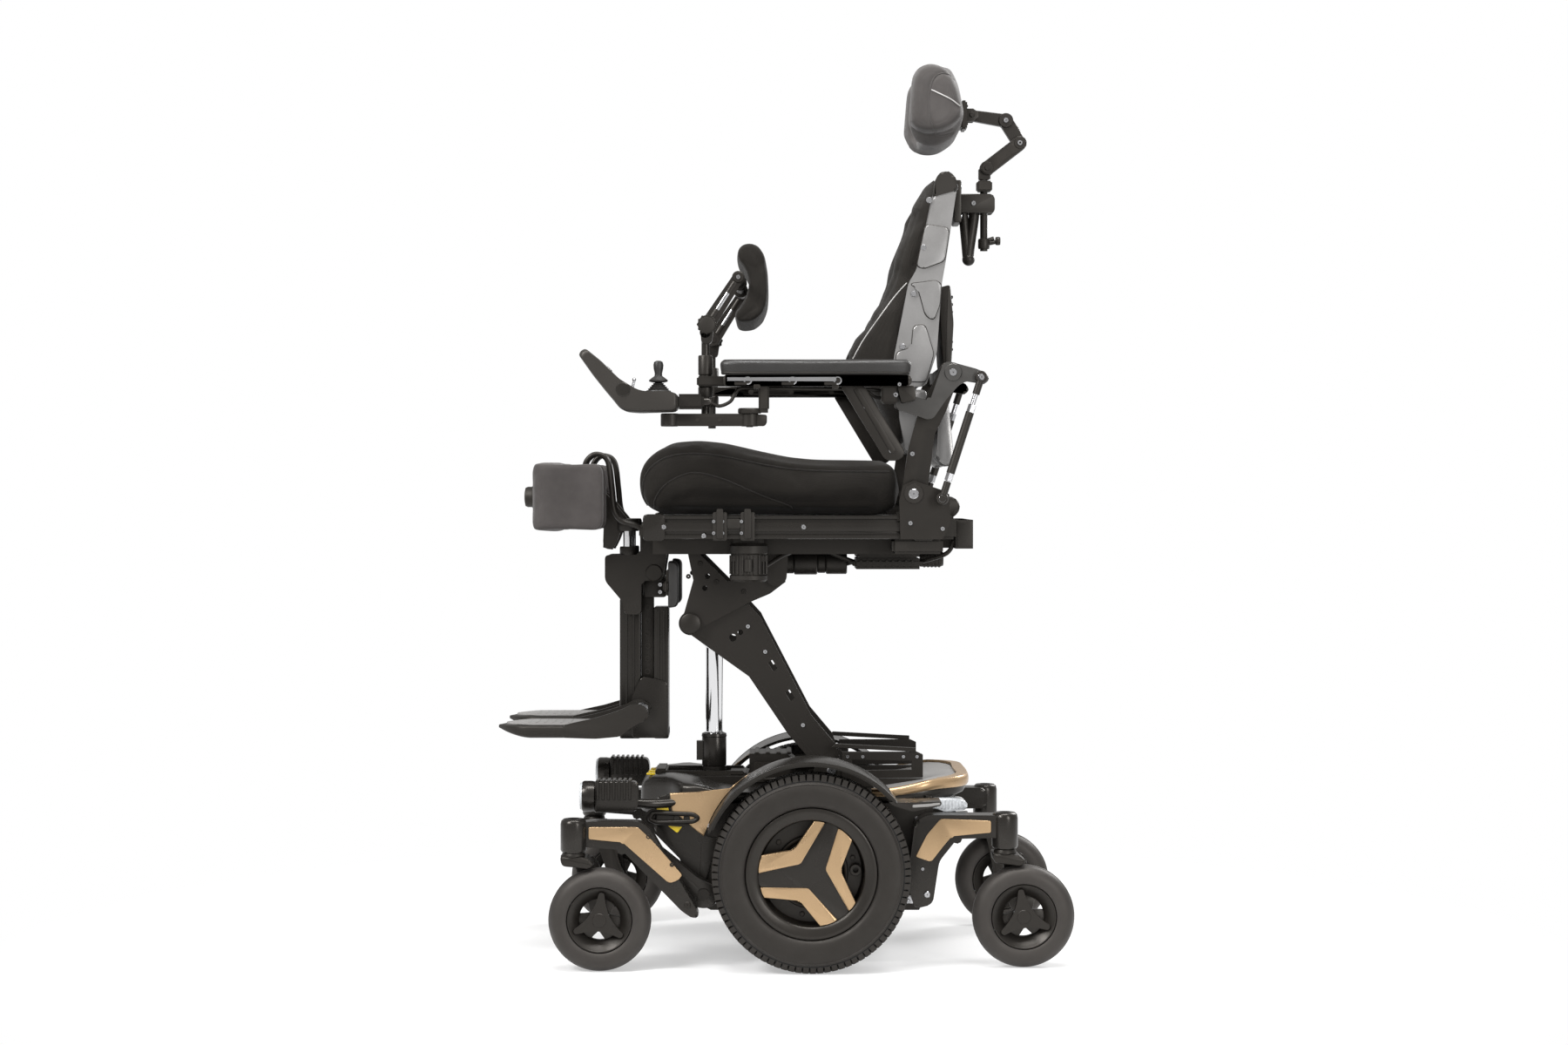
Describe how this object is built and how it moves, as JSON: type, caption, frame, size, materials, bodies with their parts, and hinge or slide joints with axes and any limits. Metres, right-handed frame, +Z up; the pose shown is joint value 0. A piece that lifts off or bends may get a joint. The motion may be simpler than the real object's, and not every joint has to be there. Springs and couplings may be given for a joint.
{
  "type": "power wheelchair",
  "caption": "Mid-wheel-drive power wheelchair with raised, tilting and reclining seat, chest and knee supports, legrest and joystick.",
  "frame": {"origin": "on the floor, at the middle of the whole chair's length and width", "axes": "+Z up, the chair faces -X, the user's left is -Y"},
  "size_m": [1.05, 0.655, 1.66],
  "materials": {
    "drive_tyre": "matte lugged rubber",
    "caster_rubber": "matte rubber",
    "wheel_plastic": "satin black moulded",
    "gold_trim": "satin gold bronze paint",
    "black_fabric": "black stretch fabric",
    "grey_fabric": "dark warm grey stretch fabric",
    "pad_vinyl": "soft moulded polyurethane skin",
    "chrome": "polished",
    "grey_shell": "satin silver grey",
    "black_plastic": "fine textured moulding",
    "bright_metal": "satin",
    "battery_case": "matte",
    "cast_alloy": "satin cast",
    "black_paint": "satin powder coat"
  },
  "bodies": {
    "base": {"chassis": "black_paint", "batteries": "battery_case", "drive_motors": "black_paint", "top_shroud": "black_plastic", "gold_panels": "gold_trim", "headlights": "black_plastic", "lift_base": "black_paint"},
    "drive_wheel_left": {"drive_tyre_l": "drive_tyre", "drive_rim_l": "wheel_plastic"},
    "drive_wheel_right": {"drive_tyre_r": "drive_tyre", "drive_rim_r": "wheel_plastic"},
    "suspension_fl": {"caster_arm_fl": "black_paint"},
    "fork_fl": {"caster_fork_fl": "black_paint"},
    "caster_fl": {"caster_wheel_fl": "caster_rubber"},
    "suspension_fr": {"caster_arm_fr": "black_paint"},
    "fork_fr": {"caster_fork_fr": "black_paint"},
    "caster_fr": {"caster_wheel_fr": "caster_rubber"},
    "suspension_rl": {"caster_arm_rl": "black_paint"},
    "fork_rl": {"caster_fork_rl": "black_paint"},
    "caster_rl": {"caster_wheel_rl": "caster_rubber"},
    "suspension_rr": {"caster_arm_rr": "black_paint"},
    "fork_rr": {"caster_fork_rr": "black_paint"},
    "caster_rr": {"caster_wheel_rr": "caster_rubber"},
    "lift_arm": {"lift_arm": "black_paint"},
    "lift_bracket": {"lift_bracket": "black_paint"},
    "actuator_tube": {"lift_tube": "black_paint"},
    "actuator_rod": {"lift_rod": "chrome"},
    "seat": {"seat_rails": "black_paint", "seat_frame": "black_paint", "seat_cushion": "black_fabric", "power_modules": "black_plastic", "leg_receivers": "black_paint"},
    "back": {"back_frame": "black_paint", "back_shell": "grey_shell", "back_cushion": "black_fabric"},
    "level_rods": {"level_rods": "black_paint"},
    "armrests": {"armrest_frames": "cast_alloy", "armrest_pads": "pad_vinyl"},
    "chest_uprights": {"chest_uprights": "black_paint"},
    "chest_arms": {"chest_arms": "black_paint"},
    "chest_pad": {"chest_pad": "black_fabric"},
    "head_post": {"head_post": "black_paint"},
    "head_link_low": {"head_link_low": "black_paint"},
    "head_link_high": {"head_link_high": "black_paint"},
    "headrest": {"headrest_pad": "grey_fabric"},
    "legrest": {"legrest_head": "black_paint", "calf_pads": "pad_vinyl"},
    "leg_pole": {"legrest_pole": "black_paint"},
    "footplate_left": {"footplate_l": "black_plastic"},
    "footplate_right": {"footplate_r": "black_plastic"},
    "knee_support_left": {"knee_bracket_l": "black_paint"},
    "knee_pad_left": {"knee_pad_l": "grey_fabric"},
    "knee_support_right": {"knee_bracket_r": "black_paint"},
    "knee_pad_right": {"knee_pad_r": "grey_fabric"},
    "joystick_arm": {"joystick_arm": "black_paint"},
    "joystick_pod": {"joystick_pod": "black_plastic"},
    "joystick_gimbal": {"joystick_gimbal": "bright_metal"},
    "joystick_stick": {"joystick_stick": "black_plastic"},
    "power_button": {"power_button": "bright_metal"},
    "mode_toggle": {"mode_toggle": "bright_metal"}
  },
  "joints": [
    {"name": "drive_left_spin", "type": "hinge", "parent": "base", "child": "drive_wheel_left", "pos_m": [0.053, -0.29, 0.178], "axis": [0, 1, 0], "continuous": true},
    {"name": "drive_right_spin", "type": "hinge", "parent": "base", "child": "drive_wheel_right", "pos_m": [0.053, 0.29, 0.178], "axis": [0, 1, 0], "continuous": true},
    {"name": "suspension_fl_swing", "type": "hinge", "parent": "base", "child": "suspension_fl", "pos_m": [-0.14, -0.227, 0.13], "axis": [0, 1, 0], "range_deg": [-5, 5], "stiffness_Nm_per_rad": 4000},
    {"name": "caster_fl_swivel", "type": "hinge", "parent": "suspension_fl", "child": "fork_fl", "pos_m": [-0.372, -0.275, 0.235], "axis": [0, 0, 1], "continuous": true},
    {"name": "caster_fl_roll", "type": "hinge", "parent": "fork_fl", "child": "caster_fl", "pos_m": [-0.325, -0.275, 0.092], "axis": [0, 1, 0], "continuous": true},
    {"name": "suspension_fr_swing", "type": "hinge", "parent": "base", "child": "suspension_fr", "pos_m": [-0.14, 0.227, 0.13], "axis": [0, 1, 0], "range_deg": [-5, 5], "stiffness_Nm_per_rad": 4000},
    {"name": "caster_fr_swivel", "type": "hinge", "parent": "suspension_fr", "child": "fork_fr", "pos_m": [-0.372, 0.275, 0.235], "axis": [0, 0, 1], "continuous": true},
    {"name": "caster_fr_roll", "type": "hinge", "parent": "fork_fr", "child": "caster_fr", "pos_m": [-0.325, 0.275, 0.092], "axis": [0, 1, 0], "continuous": true},
    {"name": "suspension_rl_swing", "type": "hinge", "parent": "base", "child": "suspension_rl", "pos_m": [0.254, -0.227, 0.14], "axis": [0, 1, 0], "range_deg": [-5, 5], "stiffness_Nm_per_rad": 4000},
    {"name": "caster_rl_swivel", "type": "hinge", "parent": "suspension_rl", "child": "fork_rl", "pos_m": [0.403, -0.235, 0.235], "axis": [0, 0, 1], "continuous": true},
    {"name": "caster_rl_roll", "type": "hinge", "parent": "fork_rl", "child": "caster_rl", "pos_m": [0.436, -0.235, 0.092], "axis": [0, 1, 0], "continuous": true},
    {"name": "suspension_rr_swing", "type": "hinge", "parent": "base", "child": "suspension_rr", "pos_m": [0.254, 0.227, 0.14], "axis": [0, 1, 0], "range_deg": [-5, 5], "stiffness_Nm_per_rad": 4000},
    {"name": "caster_rr_swivel", "type": "hinge", "parent": "suspension_rr", "child": "fork_rr", "pos_m": [0.403, 0.235, 0.235], "axis": [0, 0, 1], "continuous": true},
    {"name": "caster_rr_roll", "type": "hinge", "parent": "fork_rr", "child": "caster_rr", "pos_m": [0.436, 0.235, 0.092], "axis": [0, 1, 0], "continuous": true},
    {"name": "lift_raise", "type": "hinge", "parent": "base", "child": "lift_arm", "pos_m": [0.093, 0, 0.341], "axis": [0, 1, 0], "range_deg": [-32, 0]},
    {"name": "lift_level", "type": "hinge", "parent": "lift_arm", "child": "lift_bracket", "pos_m": [-0.168, 0, 0.613], "axis": [0, 1, 0], "range_deg": [0, 32]},
    {"name": "actuator_swing", "type": "hinge", "parent": "base", "child": "actuator_tube", "pos_m": [-0.127, 0, 0.18], "axis": [0, 1, 0], "range_deg": [-22, 0]},
    {"name": "actuator_extend", "type": "slide", "parent": "actuator_tube", "child": "actuator_rod", "axis": [0, 0, 1], "range_m": [-0.14, 0]},
    {"name": "seat_tilt", "type": "hinge", "parent": "lift_bracket", "child": "seat", "pos_m": [-0.01, 0, 0.702], "axis": [0, 1, 0], "range_deg": [0, 40]},
    {"name": "back_recline", "type": "hinge", "parent": "seat", "child": "back", "pos_m": [0.238, 0, 0.853], "axis": [0, 1, 0], "range_deg": [0, 38]},
    {"name": "armrest_level", "type": "hinge", "parent": "back", "child": "armrests", "pos_m": [0.308, 0, 1.071], "axis": [0, 1, 0], "range_deg": [-38, 0]},
    {"name": "level_rod_swing", "type": "hinge", "parent": "seat", "child": "level_rods", "pos_m": [0.288, 0, 0.844], "axis": [0, 1, 0], "range_deg": [0, 38]},
    {"name": "chest_height", "type": "slide", "parent": "armrests", "child": "chest_uprights", "axis": [0, 0, 1], "range_m": [0, 0.05]},
    {"name": "chest_swing", "type": "hinge", "parent": "chest_uprights", "child": "chest_arms", "pos_m": [-0.134, 0, 1.157], "axis": [0, 1, 0], "range_deg": [-30, 25]},
    {"name": "chest_pad_tilt", "type": "hinge", "parent": "chest_arms", "child": "chest_pad", "pos_m": [-0.078, 0, 1.244], "axis": [0, 1, 0], "range_deg": [-20, 20]},
    {"name": "head_height", "type": "slide", "parent": "back", "child": "head_post", "axis": [0, 0, 1], "range_m": [0, 0.045]},
    {"name": "head_low_knob", "type": "hinge", "parent": "head_post", "child": "head_link_low", "pos_m": [0.389, 0, 1.468], "axis": [0, 1, 0], "range_deg": [-5, 20]},
    {"name": "head_mid_knob", "type": "hinge", "parent": "head_link_low", "child": "head_link_high", "pos_m": [0.45, 0, 1.515], "axis": [0, 1, 0], "range_deg": [-5, 15]},
    {"name": "headrest_tilt", "type": "hinge", "parent": "head_link_high", "child": "headrest", "pos_m": [0.36, 0, 1.568], "axis": [0, 1, 0], "range_deg": [-7, 15]},
    {"name": "legrest_elevate", "type": "hinge", "parent": "seat", "child": "legrest", "pos_m": [-0.238, 0, 0.705], "axis": [0, 1, 0], "range_deg": [0, 60]},
    {"name": "leg_length", "type": "slide", "parent": "legrest", "child": "leg_pole", "axis": [0, 0, -1], "range_m": [0, 0.06]},
    {"name": "footplate_left_flip", "type": "hinge", "parent": "leg_pole", "child": "footplate_left", "pos_m": [-0.261, -0.041, 0.451], "axis": [0, -1, 0], "range_deg": [-75, 0]},
    {"name": "knee_left_height", "type": "slide", "parent": "seat", "child": "knee_support_left", "axis": [0, 0, 1], "range_m": [0, 0.05]},
    {"name": "knee_pad_left_tilt", "type": "hinge", "parent": "knee_support_left", "child": "knee_pad_left", "pos_m": [-0.343, -0.06, 0.847], "axis": [0, 1, 0], "range_deg": [-12, 12]},
    {"name": "footplate_right_flip", "type": "hinge", "parent": "leg_pole", "child": "footplate_right", "pos_m": [-0.261, 0.041, 0.451], "axis": [0, -1, 0], "range_deg": [-75, 0]},
    {"name": "knee_right_height", "type": "slide", "parent": "seat", "child": "knee_support_right", "axis": [0, 0, 1], "range_m": [0, 0.05]},
    {"name": "knee_pad_right_tilt", "type": "hinge", "parent": "knee_support_right", "child": "knee_pad_right", "pos_m": [-0.343, 0.06, 0.847], "axis": [0, 1, 0], "range_deg": [-12, 12]},
    {"name": "joystick_swing", "type": "hinge", "parent": "armrests", "child": "joystick_arm", "pos_m": [-0.057, -0.281, 0.985], "axis": [0, 0, 1], "range_deg": [0, 90]},
    {"name": "joystick_level", "type": "hinge", "parent": "joystick_arm", "child": "joystick_pod", "pos_m": [-0.2, -0.281, 1], "axis": [0, 0, 1], "range_deg": [-90, 0]},
    {"name": "stick_fore_aft", "type": "hinge", "parent": "joystick_pod", "child": "joystick_gimbal", "pos_m": [-0.22, -0.282, 1.018], "axis": [0, 1, 0], "range_deg": [-15, 15], "stiffness_Nm_per_rad": 0.3},
    {"name": "stick_side", "type": "hinge", "parent": "joystick_gimbal", "child": "joystick_stick", "pos_m": [-0.22, -0.282, 1.018], "axis": [1, 0, 0], "range_deg": [-15, 15], "stiffness_Nm_per_rad": 0.3},
    {"name": "power_button_press", "type": "slide", "parent": "joystick_pod", "child": "power_button", "axis": [0.7071, 0, 0.7071], "range_m": [-0.0015, 0], "stiffness_N_per_m": 400},
    {"name": "mode_toggle_flick", "type": "hinge", "parent": "joystick_pod", "child": "mode_toggle", "pos_m": [-0.266, -0.307, 1.038], "axis": [0, 1, 0], "range_deg": [-15, 15], "stiffness_Nm_per_rad": 0.02}
  ],
  "couplings": [
    {"joint": "lift_level", "follows": "lift_raise", "ratio": -1},
    {"joint": "actuator_swing", "follows": "lift_raise", "ratio": 0.64},
    {"joint": "actuator_extend", "follows": "lift_raise", "m_per_rad": 0.2413},
    {"joint": "armrest_level", "follows": "back_recline", "ratio": -1},
    {"joint": "level_rod_swing", "follows": "back_recline", "ratio": 1},
    {"joint": "joystick_level", "follows": "joystick_swing", "ratio": -1}
  ]
}
